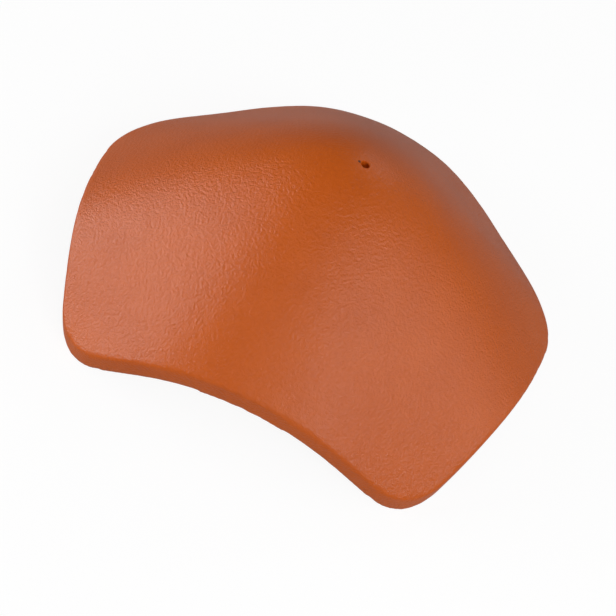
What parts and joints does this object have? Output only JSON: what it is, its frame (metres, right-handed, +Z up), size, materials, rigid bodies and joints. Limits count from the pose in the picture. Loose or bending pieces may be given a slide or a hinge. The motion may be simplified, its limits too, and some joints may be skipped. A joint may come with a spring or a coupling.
{
  "type": "three-way ridge tile",
  "caption": "Smooth bell-shaped cap tile whose arms slope away from a crown with a nail hole, to cover the point where roof ridges meet.",
  "frame": {"origin": "the floor under the middle of the tile's footprint, with the tile standing on its feet", "axes": "+Z up through the crown, -Y the front, between the two side arms, +Y along the back arm, +X to the right seen from the front"},
  "size_m": [0.4488, 0.372, 0.1795],
  "materials": {
    "terracotta_concrete": "satin, fine grained, coloured through and coated"
  },
  "bodies": {
    "root": {"ridge_tile": "terracotta_concrete"}
  },
  "joints": []
}
